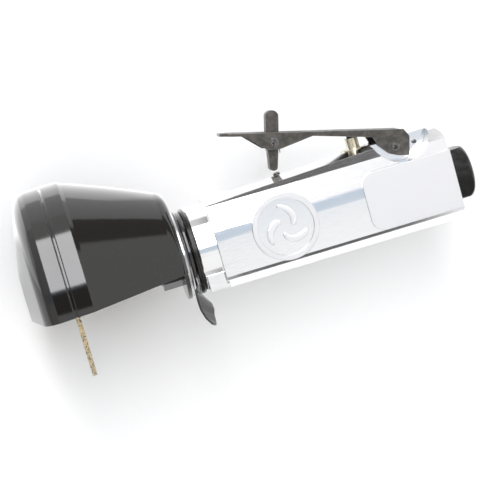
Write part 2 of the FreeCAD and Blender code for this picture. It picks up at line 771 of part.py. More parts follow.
def make_bearing(label, start, width, outer, inner, count):
    """A ball bearing as two grooved races and a ring of balls."""
    wall = "(" + outer + " - " + inner + ")"
    pitch = "(" + outer + " + " + inner + ") / 2"
    ball = wall + " * 0.27"
    middle = "(" + start + ") + (" + width + ") / 2"
    end = "(" + start + ") + (" + width + ")"
    for name, near, far in (("outer_race", pitch + " + " + wall + " * 0.18", outer),
                            ("inner_race", inner, pitch + " - " + wall + " * 0.18")):
        race = turned(label + "_" + name + "_blank",
                      [(start, near), (end, near), (end, far), (start, far)])
        track = document.addObject("Part::Torus", label + "_" + name + "_track")
        track.Placement = FreeCAD.Placement(FreeCAD.Vector(), AXIS_TURNS["X"])
        bind(track, Radius1=pitch, Radius2=ball + " + 0.04")
        move(track, middle)
        keep(label + "_" + name, cut(label + "_" + name + "_cut", race, track))
    balls = []
    for index in range(count):
        angle = 2 * math.pi * index / count
        item = document.addObject("Part::Sphere", label + "_ball_" + str(index))
        bind(item, Radius=ball)
        move(item, middle, "(" + pitch + ") * (" + str(round(math.cos(angle), 9)) + ")",
             "(" + pitch + ") * (" + str(round(math.sin(angle), 9)) + ")")
        balls.append(item)
    keep(label + "_balls", group(label + "_ball_set", balls))


def make_inlet():
    """The threaded inlet bushing, its seal and its strainer."""
    hexagon = document.addObject("Part::Prism", "bushing_hexagon")
    hexagon.Polygon = 6
    hexagon.Placement = FreeCAD.Placement(FreeCAD.Vector(), AXIS_TURNS["X"])
    bind(hexagon, Circumradius="bushing_corner_radius", Height="disc_to_inlet - housing_rear - 1.6")
    move(hexagon, "housing_rear + 1.6")
    dome = turned("bushing_dome", [
        ("housing_rear", "0"),
        ("housing_rear", "bushing_corner_radius - 1"),
        ("housing_rear + 1.6", "bushing_corner_radius - 0.3"),
        ("disc_to_inlet - 3", "bushing_corner_radius - 0.3", "4.5", -1),
        ("disc_to_inlet", "bushing_corner_radius - 2.9"),
        ("disc_to_inlet", "0")])
    head = common("bushing_head", hexagon, dome)
    shank = rod("bushing_shank", "X", "shank_radius", "shank_length - 1.2", SHANK_START + " + 1.2")
    washer = rod("bushing_washer_face", "X", "bushing_corner_radius - 1.8", "2", "housing_rear")
    bore = rod("bushing_thread", "X", "inlet_thread_radius", "inlet_thread_length + 5",
               "disc_to_inlet - inlet_thread_length")
    way = rod("bushing_way", "X", "air_way_radius", "40", SHANK_START)
    groove = ring("bushing_seal_groove", "shank_radius - 1.6", "shank_radius + 1",
                  "housing_rear - 4", "1.8")
    keep("inlet_bushing", cut("inlet_bushing_cut", joined("bushing_solid", head, shank, washer),
                              bore, way, groove))
    keep("inlet_seal", ring("inlet_seal_ring", "shank_radius - 1.6", "shank_radius",
                            "housing_rear - 3.9", "1.6"))
    screen = rod("screen_disc", "X", "shank_radius", "1", SHANK_START + " + 0.1")
    holes = [rod("screen_hole_" + str(row) + "_" + str(column), "X", "0.7", "3",
                 SHANK_START + " - 1", str(2.4 * row), str(2.4 * column))
             for row in range(-1, 2) for column in range(-1, 2)]
    keep("inlet_screen", cut("inlet_screen_cut", screen, *holes))


def make_valve():
    """The brass bush, the plunger with its button and head, and the spring."""
    flange_under = "bush_top - bush_flange_thickness"
    bush = joined("bush_solid",
                  rod("bush_sleeve", "Y", "bush_radius", "bush_top - bush_bottom",
                      "valve_station", "bush_bottom"),
                  rod("bush_flange", "Y", "bush_flange_radius", "bush_flange_thickness",
                      "valve_station", flange_under))
    keep("valve_bush", cut("valve_bush_cut", bush,
                           rod("bush_bore", "Y", "plunger_radius + running_gap", "40",
                               "valve_station", "bush_bottom + 1.5"),
                           rod("bush_seat_hole", "Y", "plunger_radius - 0.6", "5",
                               "valve_station", "bush_bottom - 1"),
                           rod("bush_port", "X", "feed_radius", "20", "valve_station - 10",
                               "feed_rise")))
    guide_low = "bush_bottom + 8"
    keep("valve_plunger", joined("plunger_solid",
                                 rod("plunger_cap", "Y", "plunger_radius",
                                     "plunger_top - (" + guide_low + ")",
                                     "valve_station", guide_low),
                                 rod("plunger_stem", "Y", "stem_radius", guide_low + " - 5.2",
                                     "valve_station", "5.2"),
                                 rod("plunger_neck", "Y", "button_radius - 0.5",
                                     "1", "valve_station", "plunger_top")))
    button = rod("button_solid", "Y", "button_radius", "button_top - plunger_top",
                 "valve_station", "plunger_top")
    dome = document.addObject("Part::Sphere", "button_dome")
    bind(dome, Radius="button_radius * 1.35")
    move(dome, "valve_station", "button_top - button_radius * 1.35")
    base = rod("button_base", "Y", "button_radius", "1", "valve_station", "plunger_top")
    rounded = common("button_round", button, joined("button_form", dome, base))
    keep("plunger_button", cut("plunger_button_cut", rounded,
                               rod("button_socket", "Y", "button_radius - 0.5", "1",
                                   "valve_station", "plunger_top")))
    head = rod("head_solid", "Y", "valve_head_radius", "2.4", "valve_station", "5.2")
    keep("valve_head", cut("valve_head_cut", head,
                           rod("head_socket", "Y", "stem_radius", "5", "valve_station", "5.2")))
    keep_valve_spring()


def keep_valve_spring():
    """A helical spring under the valve head, standing on the floor of the chamber."""
    wire = number_of("stem_radius / 3")
    length = number_of("valve_chamber_depth + 5.2") - 2 * wire - 0.1
    radius = number_of("valve_head_radius") - wire
    helix = Part.makeHelix(length / 6, length, radius)
    start = FreeCAD.Vector(radius, 0, 0)
    circle = Part.Circle(start, FreeCAD.Vector(0, 1, 0), wire)
    section = Part.Wire(circle.toShape())
    coil = Part.Wire(helix).makePipeShell([section], True, True)
    spring = document.addObject("Part::Feature", "valve_spring_coil")
    spring.Shape = coil
    spring.Label = "valve_spring"
    spring.Placement = FreeCAD.Placement(
        FreeCAD.Vector(0, -number_of("valve_chamber_depth") + wire + 0.05, 0), AXIS_TURNS["Y"])
    bind(spring, Placement__Base__x="valve_station - disc_to_inlet")
    nodes["valve_spring"] = spring


def make_lever():
    """The folded sheet lever, modelled level with its pivot at the origin."""
    ear_front = "-lever_length + 9.8"
    lock_x = "-lock_reach * cos(lever_tilt * 1deg) - lock_rise * sin(lever_tilt * 1deg)"
    lock_y = "lock_rise * cos(lever_tilt * 1deg) - lock_reach * sin(lever_tilt * 1deg)"
    blank = padded("lever_blank", "XY_Plane", [
        ("-lever_length", "lever_top"),
        ("-lever_length", "lever_top - lever_sheet"),
        (ear_front, "lever_top - lever_sheet"),
        (lock_x + " - 2.6", lock_y + " - 3"),
        (lock_x + " + 2.2", lock_y + " - 3"),
        (lock_x + " + 16.7", "lever_top - 1.8"),
        ("-9.7", "4.4"),
        ("-7.3", "0.8"),
        ("-2.3", "-2.8"),
        ("1.5", "-3.6"),
        ("6.1", "-3.6"),
        ("6.1", "4.6"),
        ("3.6", "lever_top")], "2 * lever_half_width")
    inner = "2 * (lever_half_width - lever_sheet)"
    room = block("lever_room", "lever_length + 30", "40", inner, "-lever_length - 10",
                 "lever_top - lever_sheet - 40", "-lever_half_width + lever_sheet")
    notch = block("lever_notch", "10", "10", inner, "2.6", "-1", "-lever_half_width + lever_sheet")
    slot = block("lever_slot", "20.5", "10", "2 * (lock_half_depth + 0.5)", lock_x + " - 6.5",
                 "lever_top - 5", "-lock_half_depth - 0.5")
    pin_hole = rod("lever_hole", "Z", "lever_pin_radius + running_gap", "40", "0", "0", "-20")
    lock_hole = rod("lever_lock_hole", "Z", "lock_pin_radius", "40", lock_x, lock_y, "-20")
    nose = padded("lever_plan", "XZ_Plane", [
        ("-lever_length", "-lever_half_width + 4", "4.1", -1),
        ("-lever_length + 4", "-lever_half_width"),
        ("10", "-lever_half_width"),
        ("10", "lever_half_width"),
        ("-lever_length + 4", "lever_half_width", "4.1", -1),
        ("-lever_length", "lever_half_width - 4")], "60")
    shaped = common("lever_shape", blank, nose)
    keep("throttle_lever", cut("lever_cut", shaped, room, notch, slot, pin_hole, lock_hole),
         "lever_pivot_station", "lever_pivot_rise", turn="-lever_tilt")
    keep("lever_pin", tube("lever_pin_tube", "lever_pin_radius", "lever_half_width + lever_pin_proud"),
         "lever_pivot_station", "lever_pivot_rise")
    stop_half_length = "tongue_half_width + 1.4"
    stop_pin = rod("stop_pin", "Z", "stop_pin_radius", "2 * (" + stop_half_length + ")")
    keep("lever_stop_pin", stop_pin, "lever_pivot_station + stop_pin_offset", "lever_pivot_rise",
         z="-(" + stop_half_length + ")")


def tube(label, radius, half_length):
    """A hollow pin along Z, even about the middle plane."""
    return cut(label, rod(label + "_skin", "Z", radius, "2 * (" + half_length + ")",
                          "0", "0", "-(" + half_length + ")"),
               rod(label + "_bore", "Z", radius + " * 0.5", "2 * (" + half_length + ") + 2",
                   "0", "0", "-(" + half_length + ") - 1"))


def make_lock():
    """The lock-off lever on its pin, with its torsion spring, and the stud it meets."""
    pivot = ("lever_pivot_station - lock_reach", "lever_pivot_rise + lock_rise")
    outline = padded("lock_outline", "XY_Plane", [
        ("-lock_half_width + 0.5", "lock_tab - 1.6", "2.9", -1),
        ("lock_half_width + 0.5", "lock_tab - 1.6"),
        ("lock_half_width + 0.5", "4"),
        ("3.3", "0"),
        ("2.9", "-4"),
        ("2.5", "-lock_leg + 1.4", "1.9", -1),
        ("-0.9", "-lock_leg + 1.4"),
        ("-1.5", "-4"),
        ("-3.1", "0"),
        ("-lock_half_width + 0.5", "4")], "2 * lock_half_depth")
    keep("lock_lever", cut("lock_lever_cut", outline,
                           rod("lock_hole", "Z", "lock_pin_radius + running_gap", "40",
                               "0", "0", "-20")),
         *pivot, turn="-lock_lean")
    keep("lock_pin", tube("lock_pin_tube", "lock_pin_radius", "lever_half_width + lever_pin_proud"), *pivot)
    keep_lock_spring()
    keep("stop_stud", stud(), stud_station(), top_at(stud_station()) + " - stud_seat")


def stud():
    """A round-headed stud pressed into the housing's top."""
    shank = rod("stud_shank", "Y", "stud_radius", "stud_seat + stud_proud - 0.3")
    tip = rod("stud_tip", "Y", "stud_radius - 0.4", "stud_seat + stud_proud")
    return joined("stud_solid", shank, tip)


def keep_lock_spring():
    """A torsion spring round the lock pin, with one leg down beside the lever."""
    wire = number_of("lock_spring_wire")
    radius = number_of("lock_pin_radius") + wire + 0.15
    height = 2.4
    helix = Part.makeHelix(height / 3, height, radius)
    section = Part.Wire(Part.Circle(FreeCAD.Vector(radius, 0, 0),
                                    FreeCAD.Vector(0, 1, 0), wire).toShape())
    coil = Part.Wire(helix).makePipeShell([section], True, True)
    leg = Part.makeCylinder(wire, number_of("lock_spring_leg"), FreeCAD.Vector(radius, 0, 0),
                            FreeCAD.Vector(0, -1, 0))
    spring = document.addObject("Part::Feature", "lock_spring_coil")
    spring.Shape = coil.fuse(leg)
    spring.Label = "lock_spring"
    spring.Placement = FreeCAD.Placement(
        FreeCAD.Vector(0, 0, number_of("lock_half_depth") + 0.6), FreeCAD.Rotation())
    bind(spring, Placement__Base__x="lever_pivot_station - lock_reach - disc_to_inlet",
         Placement__Base__y="lever_pivot_rise + lock_rise")
    nodes["lock_spring"] = spring


make_disc_stack()
make_guard()
make_nose()
make_housing()
make_motor()
make_inlet()
make_valve()
make_lever()
make_lock()
document.recompute()

for item in document.Objects:
    if "Invalid" in item.State or "Error" in item.State:
        raise RuntimeError(item.Name + " failed: " + ", ".join(item.State))

os.makedirs("parts", exist_ok=True)
for name, item in nodes.items():
    shape = item.Shape
    if shape.isNull() or not shape.isValid() or not shape.Solids:
        raise RuntimeError(name + " has no valid solid")
    shape.exportStep("parts/" + name + ".step")
    print(name, len(shape.Solids), round(shape.Volume, 1))
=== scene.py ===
"""Looks of a pneumatic cut-off tool, laid out as an add-on and run as a script."""
import math

import bmesh
import bpy
import numpy as np
from mathutils import Matrix, Vector


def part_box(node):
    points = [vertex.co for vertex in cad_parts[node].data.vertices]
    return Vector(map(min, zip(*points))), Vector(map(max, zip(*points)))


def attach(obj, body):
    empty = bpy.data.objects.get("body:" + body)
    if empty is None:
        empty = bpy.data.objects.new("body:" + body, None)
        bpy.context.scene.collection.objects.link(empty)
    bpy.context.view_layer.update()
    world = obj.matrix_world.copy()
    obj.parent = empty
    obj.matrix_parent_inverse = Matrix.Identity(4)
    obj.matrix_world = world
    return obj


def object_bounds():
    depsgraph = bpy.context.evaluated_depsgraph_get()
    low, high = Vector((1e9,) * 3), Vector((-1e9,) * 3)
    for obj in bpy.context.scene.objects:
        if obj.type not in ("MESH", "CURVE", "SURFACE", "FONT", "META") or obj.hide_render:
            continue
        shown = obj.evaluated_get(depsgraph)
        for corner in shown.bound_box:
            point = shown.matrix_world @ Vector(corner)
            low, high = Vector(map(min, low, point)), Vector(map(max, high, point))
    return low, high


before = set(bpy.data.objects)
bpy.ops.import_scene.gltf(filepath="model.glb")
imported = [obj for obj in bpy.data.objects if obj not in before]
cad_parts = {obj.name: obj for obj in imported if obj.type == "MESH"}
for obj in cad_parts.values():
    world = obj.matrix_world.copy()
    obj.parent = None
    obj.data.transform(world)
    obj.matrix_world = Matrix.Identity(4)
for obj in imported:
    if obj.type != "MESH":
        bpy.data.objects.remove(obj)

bl_info = {
    "name": "Cut-off tool looks",
    "version": (1, 0, 0),
    "blender": (4, 5, 0),
    "location": "3D View > Sidebar > Cut-off tool",
    "description": "Finishes and fine pieces for an air-driven cut-off tool on a studio floor",
    "category": "Object",
}

MM = 0.001
CAD_LOW, CAD_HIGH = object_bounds()
DISC_LOW, DISC_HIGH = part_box("cutting_disc")
DISC_PLANE = (DISC_LOW.x + DISC_HIGH.x) / 2


# ---------------------------------------------------------------- settings

class CUTOFF_StageSettings(bpy.types.PropertyGroup):
    """Where the camera stands and how bright the studio is."""
    camera_rise: bpy.props.FloatProperty(
        name="Camera towards the lever", description="How far the camera stands to the lever's side",
        default=0.0904, unit="LENGTH")
    camera_height: bpy.props.FloatProperty(
        name="Camera height", description="Height of the camera over the tool's axis",
        default=0.720, unit="LENGTH")
    target_x: bpy.props.FloatProperty(
        name="Aim along the tool", description="Where the camera aims, along the tool",
        default=-0.0997, unit="LENGTH")
    target_y: bpy.props.FloatProperty(
        name="Aim across the tool", description="Where the camera aims, across the tool",
        default=-0.0065, unit="LENGTH")
    roll: bpy.props.FloatProperty(
        name="Roll", description="How far the tool's axis rises to the right in the picture",
        default=math.radians(15.84), unit="ROTATION")
    lens: bpy.props.FloatProperty(
        name="Lens", description="Focal length on a 36 mm wide sensor, in millimetres",
        default=124.3)
    floor_colour: bpy.props.FloatVectorProperty(
        name="Floor", description="Colour of the studio floor", subtype="COLOR", size=4,
        default=(0.95, 0.95, 0.945, 1))
    # Painted glow: how far behind the lever the floor's emission strip, seen only in reflections,
    # reaches.
    painted_glow_reach: bpy.props.FloatProperty(
        name="Bright paper", description="How far behind the lever the reflections show lit paper",
        default=0.115, unit="LENGTH")
    sky_strength: bpy.props.FloatProperty(
        name="Sky", description="Strength of the white studio all round", default=1.0)
    softbox: bpy.props.FloatProperty(
        name="Softbox", description="How much brighter than the studio its softbox is", default=7.5)
    # Painted glow: strength of the floor's emission, which only reflections see.
    painted_glow_strength: bpy.props.FloatProperty(
        name="Paper glow", description="Extra light that the reflections show on the lit paper",
        default=1.0)
    key_power: bpy.props.FloatProperty(
        name="Key light", description="Power of the large soft light above the lever", default=1.0)


class CUTOFF_FinishSettings(bpy.types.PropertyGroup):
    """Colours of the tool's finishes."""
    aluminium: bpy.props.FloatVectorProperty(
        name="Polished aluminium", description="Reflected colour of the polished housing",
        subtype="COLOR", size=4, default=(0.93, 0.93, 0.935, 1))
    satin: bpy.props.FloatVectorProperty(
        name="Satin aluminium", description="Reflected colour of the blasted pads",
        subtype="COLOR", size=4, default=(0.80, 0.795, 0.805, 1))
    enamel: bpy.props.FloatVectorProperty(
        name="Black enamel", description="Colour of the guard's paint",
        subtype="COLOR", size=4, default=(0.014, 0.013, 0.012, 1))
    phosphate: bpy.props.FloatVectorProperty(
        name="Phosphated steel", description="Colour of the levers",
        subtype="COLOR", size=4, default=(0.072, 0.067, 0.060, 1))
    oxide: bpy.props.FloatVectorProperty(
        name="Black oxide", description="Colour of the blackened steel pieces",
        subtype="COLOR", size=4, default=(0.016, 0.0155, 0.015, 1))
    steel: bpy.props.FloatVectorProperty(
        name="Bright steel", description="Colour of the turned steel pieces",
        subtype="COLOR", size=4, default=(0.62, 0.62, 0.63, 1))
    brass: bpy.props.FloatVectorProperty(
        name="Brass", description="Colour of the valve's plunger and bush",
        subtype="COLOR", size=4, default=(0.90, 0.83, 0.66, 1))
    grit: bpy.props.FloatVectorProperty(
        name="Abrasive", description="Colour of the cutting disc's grit and resin",
        subtype="COLOR", size=4, default=(0.50, 0.38, 0.21, 1))


class CUTOFF_DetailSettings(bpy.types.PropertyGroup):
    """Sizes of the fine pieces."""
    badge_centre_x: bpy.props.FloatProperty(
        name="Badge station", description="Middle of the badge along the tool",
        default=DISC_PLANE + 0.0925, unit="LENGTH")
    badge_centre_y: bpy.props.FloatProperty(
        name="Badge rise", description="Middle of the badge across the tool",
        default=0.0011, unit="LENGTH")
    badge_radius: bpy.props.FloatProperty(
        name="Badge radius", description="Outer radius of the badge ring", default=0.014,
        unit="LENGTH")
    side_plane: bpy.props.FloatProperty(
        name="Side plane", description="Distance of the housing's flat side from the axis",
        default=0.019, unit="LENGTH")
    pad_start: bpy.props.FloatProperty(
        name="Pad start", description="Where the satin side pads begin along the tool",
        default=DISC_PLANE + 0.1278, unit="LENGTH")
    thread_pitch: bpy.props.FloatProperty(
        name="Thread pitch", description="Pitch of the air inlet's thread",
        default=25.4 * MM / 18, unit="LENGTH")
    thread_radius: bpy.props.FloatProperty(
        name="Thread wall radius", description="Radius of the inlet's wall",
        default=5.7 * MM, unit="LENGTH")


SETTINGS = (
    ("cutoff_stage", CUTOFF_StageSettings),
    ("cutoff_finish", CUTOFF_FinishSettings),
    ("cutoff_detail", CUTOFF_DetailSettings),
)


# ---------------------------------------------------------------- node helpers

def wire(tree, kind, inputs=None, **settings):
    """Add a node, set its properties, and set or link its inputs."""
    made = tree.nodes.new(kind)
    for name, value in settings.items():
        setattr(made, name, value)
    for name, value in (inputs or {}).items():
        socket = made.inputs[name]
        if isinstance(value, bpy.types.NodeSocket):
            tree.links.new(value, socket)
        else:
            socket.default_value = value
    return made


def maths(tree, operation, first, second=0.0, clamp=False):
    """The output of a Math node."""
    return wire(tree, "ShaderNodeMath", {0: first, 1: second},
                operation=operation, use_clamp=clamp).outputs[0]


def spread(tree, value, low, high, to_low=0.0, to_high=1.0):
    """A value mapped from one range to another, clamped and smooth."""
    return wire(tree, "ShaderNodeMapRange",
                {"Value": value, "From Min": low, "From Max": high,
                 "To Min": to_low, "To Max": to_high},
                interpolation_type="SMOOTHSTEP").outputs["Result"]


def window(tree, value, rise, full, fade, end):
    """A value's mask that rises from 0 to 1, stays there and falls back to 0."""
    return maths(tree, "MULTIPLY", spread(tree, value, rise, full),
                 spread(tree, value, fade, end, 1.0, 0.0))


def blend_colour(tree, factor, first, second, mode="MIX"):
    """The colour output of a Mix node."""
    made = wire(tree, "ShaderNodeMix", {"Factor": factor}, data_type="RGBA", blend_type=mode)
    for socket, value in ((made.inputs[6], first), (made.inputs[7], second)):
        if isinstance(value, bpy.types.NodeSocket):
            tree.links.new(value, socket)
        else:
            socket.default_value = value
    return made.outputs[2]


def noise(tree, place, scale, detail=4.0, roughness=0.55):
    """The value of a noise texture."""
    return wire(tree, "ShaderNodeTexNoise",
                {"Vector": place, "Scale": scale, "Detail": detail,
                 "Roughness": roughness}).outputs["Fac"]


def new_group(name, inputs, outputs):
    """A shader node group with named float, vector or colour sockets."""
    group = bpy.data.node_groups.new(name, "ShaderNodeTree")
    for label, kind, value in inputs:
        socket = group.interface.new_socket(label, in_out="INPUT", socket_type=kind)
        if value is not None:
            socket.default_value = value
    for label, kind in outputs:
        group.interface.new_socket(label, in_out="OUTPUT", socket_type=kind)
    start = group.nodes.new("NodeGroupInput").outputs
    end = group.nodes.new("NodeGroupOutput").inputs
    return group, start, end


def place_group(tree, name, inputs):
    """A node of a group that was built before."""
    made = tree.nodes.new("ShaderNodeGroup")
    made.node_tree = bpy.data.node_groups[name]
    for label, value in inputs.items():
        if isinstance(value, bpy.types.NodeSocket):
            tree.links.new(value, made.inputs[label])
        else:
            made.inputs[label].default_value = value
    return made.outputs


def build_edge_group():
    """Rounded edges: a normal that turns over the edge, and a mask that is 1 on edges."""
    group, start, end = new_group(
        "Soft edges",
        (("Radius", "NodeSocketFloat", 0.0003), ("Breakup", "NodeSocketFloat", 400.0)),
        (("Normal", "NodeSocketVector"), ("Edge", "NodeSocketFloat")))
    bevel = wire(group, "ShaderNodeBevel", {"Radius": start["Radius"]}, samples=6)
    normal = wire(group, "ShaderNodeNewGeometry").outputs["Normal"]
    along = wire(group, "ShaderNodeVectorMath", {0: bevel.outputs[0], 1: normal},
                 operation="DOT_PRODUCT").outputs["Value"]
    turn = maths(group, "SUBTRACT", 1.0, along)
    place = wire(group, "ShaderNodeTexCoord").outputs["Object"]
    broken = maths(group, "ADD", noise(group, place, start["Breakup"]), 0.2)
    mask = spread(group, maths(group, "MULTIPLY", turn, broken), 0.004, 0.10)
    group.links.new(bevel.outputs[0], end["Normal"])
    group.links.new(mask, end["Edge"])


def build_grain_group():
    """Fine surface grain: noise of a given size, stretched along the tool, as a height."""
    group, start, end = new_group(
        "Fine grain",
        (("Size", "NodeSocketFloat", 1500.0), ("Stretch", "NodeSocketFloat", 1.0)),
        (("Height", "NodeSocketFloat"), ("Cloud", "NodeSocketFloat")))
    place = wire(group, "ShaderNodeTexCoord").outputs["Object"]
    factors = wire(group, "ShaderNodeCombineXYZ",
                   {"X": start["Stretch"], "Y": 1.0, "Z": 1.0}).outputs[0]
    stretched = wire(group, "ShaderNodeVectorMath", {0: place, 1: factors},
                     operation="MULTIPLY").outputs["Vector"]
    group.links.new(noise(group, stretched, start["Size"]), end["Height"])
    group.links.new(noise(group, place, 55.0, 3.0), end["Cloud"])


def build_turning_group():
    """Turning marks: fine rings round the tool's axis that follow the radius and the station."""
    group, start, end = new_group(
        "Turning marks", (("Size", "NodeSocketFloat", 2500.0),), (("Height", "NodeSocketFloat"),))
    place = wire(group, "ShaderNodeTexCoord").outputs["Object"]
    parts = wire(group, "ShaderNodeSeparateXYZ", {0: place}).outputs
    radius = maths(group, "SQRT", maths(group, "ADD", maths(group, "MULTIPLY", parts[1], parts[1]),
                                        maths(group, "MULTIPLY", parts[2], parts[2])))
    rings = wire(group, "ShaderNodeCombineXYZ", {"X": parts[0], "Y": radius}).outputs[0]
    group.links.new(noise(group, rings, start["Size"], 2.0), end["Height"])


def build_dust_group():
    """Fine dust: small soft specks, thicker in patches."""
    group, start, end = new_group(
        "Dust", (("Amount", "NodeSocketFloat", 0.3),), (("Mask", "NodeSocketFloat"),))
    place = wire(group, "ShaderNodeTexCoord").outputs["Object"]
    specks = spread(group, noise(group, place, 2600.0, 2.0), 0.66, 0.74)
    patches = spread(group, noise(group, place, 40.0, 3.0), 0.40, 0.70)
    both = maths(group, "MULTIPLY", specks, patches)
    group.links.new(maths(group, "MULTIPLY", both, start["Amount"], clamp=True), end["Mask"])


def new_material(name):
    """A material with an empty Principled shader on its output."""
    material = bpy.data.materials.new(name)
    material.use_nodes = True
    tree = material.node_tree
    tree.nodes.clear()
    shader = tree.nodes.new("ShaderNodeBsdfPrincipled")
    output = tree.nodes.new("ShaderNodeOutputMaterial")
    tree.links.new(shader.outputs[0], output.inputs["Surface"])
    return material, tree, shader


def bump(tree, height, strength, distance, normal):
    """A Bump node's normal."""
    return wire(tree, "ShaderNodeBump",
                {"Height": height, "Strength": strength, "Distance": distance,
                 "Normal": normal}).outputs[0]


def link(tree, source, shader, name):
    """Link a socket to one of the shader's inputs."""
    tree.links.new(source, shader.inputs[name])


# ---------------------------------------------------------------- materials

def polished_aluminium(finish, detail):
    """Buffed aluminium, satin on the side pads and the badge."""
    material, tree, shader = new_material("polished_aluminium")
    place = wire(tree, "ShaderNodeTexCoord").outputs["Object"]
    x, y, z = wire(tree, "ShaderNodeSeparateXYZ", {0: place}).outputs
    depth = maths(tree, "ABSOLUTE", z)
    proud = spread(tree, depth, detail.side_plane + 0.1 * MM, detail.side_plane + 0.3 * MM)
    on_pad = spread(tree, x, detail.pad_start - 0.1 * MM, detail.pad_start + 0.1 * MM)
    away_x = maths(tree, "SUBTRACT", x, detail.badge_centre_x)
    away_y = maths(tree, "SUBTRACT", y, detail.badge_centre_y)
    away = maths(tree, "SQRT", maths(tree, "ADD", maths(tree, "MULTIPLY", away_x, away_x),
                                     maths(tree, "MULTIPLY", away_y, away_y)))
    on_ring = maths(tree, "SUBTRACT", 1.0,
                    spread(tree, away, detail.badge_radius, detail.badge_radius + 0.1 * MM))
    satin = maths(tree, "MULTIPLY", proud, maths(tree, "ADD", on_pad, on_ring, clamp=True))
    edges = place_group(tree, "Soft edges", {"Radius": 0.35 * MM, "Breakup": 300.0})
    buffing = place_group(tree, "Fine grain", {"Size": 3800.0, "Stretch": 0.06})
    blasting = place_group(tree, "Fine grain", {"Size": 5200.0, "Stretch": 1.0})
    cloud = buffing["Cloud"]
    base = blend_colour(tree, satin, tuple(finish.aluminium), tuple(finish.satin))
    base = blend_colour(tree, spread(tree, cloud, 0.3, 0.8, 0.0, 0.06), base,
                        (0.72, 0.74, 0.78, 1))
    link(tree, base, shader, "Base Color")
    shader.inputs["Metallic"].default_value = 1.0
    smooth = spread(tree, buffing["Height"], 0.35, 0.7, 0.055, 0.13)
    rough = maths(tree, "ADD", maths(tree, "MULTIPLY", satin, 0.36), smooth)
    link(tree, rough, shader, "Roughness")
    height = wire(tree, "ShaderNodeMix", {0: satin, 2: buffing["Height"], 3: blasting["Height"]},
                  data_type="FLOAT").outputs[0]
    link(tree, bump(tree, height, 0.10, 0.05 * MM, edges["Normal"]), shader, "Normal")
    return material


def black_enamel(finish):
    """Gloss black paint with a faint orange peel, dust, and edges lightened to grey, partly rubbed
    through and partly a painted highlight.
    """
    material, tree, shader = new_material("black_paint")
    edges = place_group(tree, "Soft edges", {"Radius": 0.5 * MM, "Breakup": 700.0})
    peel = place_group(tree, "Fine grain", {"Size": 420.0, "Stretch": 1.0})
    dust = place_group(tree, "Dust", {"Amount": 0.25})["Mask"]
    # Edges lightened to grey: partly rubbed paint, partly a painted highlight along every edge.
    edge_rubbing_and_highlight = spread(tree, edges["Edge"], 0.55, 1.0, 0.0, 0.55)
    base = blend_colour(tree, edge_rubbing_and_highlight, tuple(finish.enamel), (0.20, 0.19, 0.18, 1))
    base = blend_colour(tree, dust, base, (0.42, 0.40, 0.36, 1))
    link(tree, base, shader, "Base Color")
    rough = spread(tree, peel["Cloud"], 0.3, 0.75, 0.07, 0.12)
    link(tree, maths(tree, "ADD", rough, maths(tree, "MULTIPLY", dust, 0.5)), shader, "Roughness")
    shader.inputs["Specular IOR Level"].default_value = 0.55
    shader.inputs["Coat Weight"].default_value = 0.25
    shader.inputs["Coat Roughness"].default_value = 0.06
    link(tree, bump(tree, peel["Height"], 0.08, 0.12 * MM, edges["Normal"]), shader, "Normal")
    return material


def dark_steel(name, colour, light, rough, rubbing_and_highlight_amount, radius):
    """Phosphated or blackened steel: mottled, fine-grained, lighter on edges, partly rubbed and
    partly a painted highlight.
    """
    material, tree, shader = new_material(name)
    edges = place_group(tree, "Soft edges", {"Radius": radius, "Breakup": 900.0})
    grain = place_group(tree, "Fine grain", {"Size": 2400.0, "Stretch": 1.0})
    place = wire(tree, "ShaderNodeTexCoord").outputs["Object"]
    mottle = spread(tree, noise(tree, place, 330.0, 6.0, 0.65), 0.35, 0.68)
    base = blend_colour(tree, mottle, tuple(colour), light)
    # Edges lightened to grey: partly rubbed metal, partly a painted highlight, strongest on the
    # pins.
    base = blend_colour(tree, maths(tree, "MULTIPLY", edges["Edge"], rubbing_and_highlight_amount), base,
                        (0.46, 0.44, 0.41, 1))
    link(tree, base, shader, "Base Color")
    shader.inputs["Metallic"].default_value = 0.75
    link(tree, spread(tree, mottle, 0.0, 1.0, rough - 0.05, rough + 0.07), shader, "Roughness")
    link(tree, bump(tree, grain["Height"], 0.28, 0.04 * MM, edges["Normal"]), shader, "Normal")
    return material


def turned_metal(name, colour, rough, tint):
    """Turned and ground metal with fine rings round the axis."""
    material, tree, shader = new_material(name)
    edges = place_group(tree, "Soft edges", {"Radius": 0.15 * MM, "Breakup": 700.0})
    marks = place_group(tree, "Turning marks", {"Size": 4200.0})["Height"]
    cloud = place_group(tree, "Fine grain", {"Size": 900.0, "Stretch": 1.0})["Cloud"]
    link(tree, blend_colour(tree, spread(tree, cloud, 0.35, 0.75, 0.0, 0.5), tuple(colour), tint),
         shader, "Base Color")
    shader.inputs["Metallic"].default_value = 1.0
    link(tree, spread(tree, marks, 0.3, 0.7, rough - 0.04, rough + 0.08), shader, "Roughness")
    link(tree, bump(tree, marks, 0.18, 0.02 * MM, edges["Normal"]), shader, "Normal")
    return material


def soft_black(name, colour, rough):
    """Rubber or resin with a matt moulded grain."""
    material, tree, shader = new_material(name)
    edges = place_group(tree, "Soft edges", {"Radius": 0.2 * MM, "Breakup": 500.0})
    grain = place_group(tree, "Fine grain", {"Size": 3000.0, "Stretch": 1.0})
    lighter = tuple(min(1.0, c * 1.6) for c in colour[:3]) + (1,)
    link(tree, blend_colour(tree, grain["Cloud"], colour, lighter), shader, "Base Color")
    link(tree, spread(tree, grain["Height"], 0.3, 0.7, rough - 0.06, rough + 0.06),
         shader, "Roughness")
    link(tree, bump(tree, grain["Height"], 0.3, 0.04 * MM, edges["Normal"]), shader, "Normal")
    return material


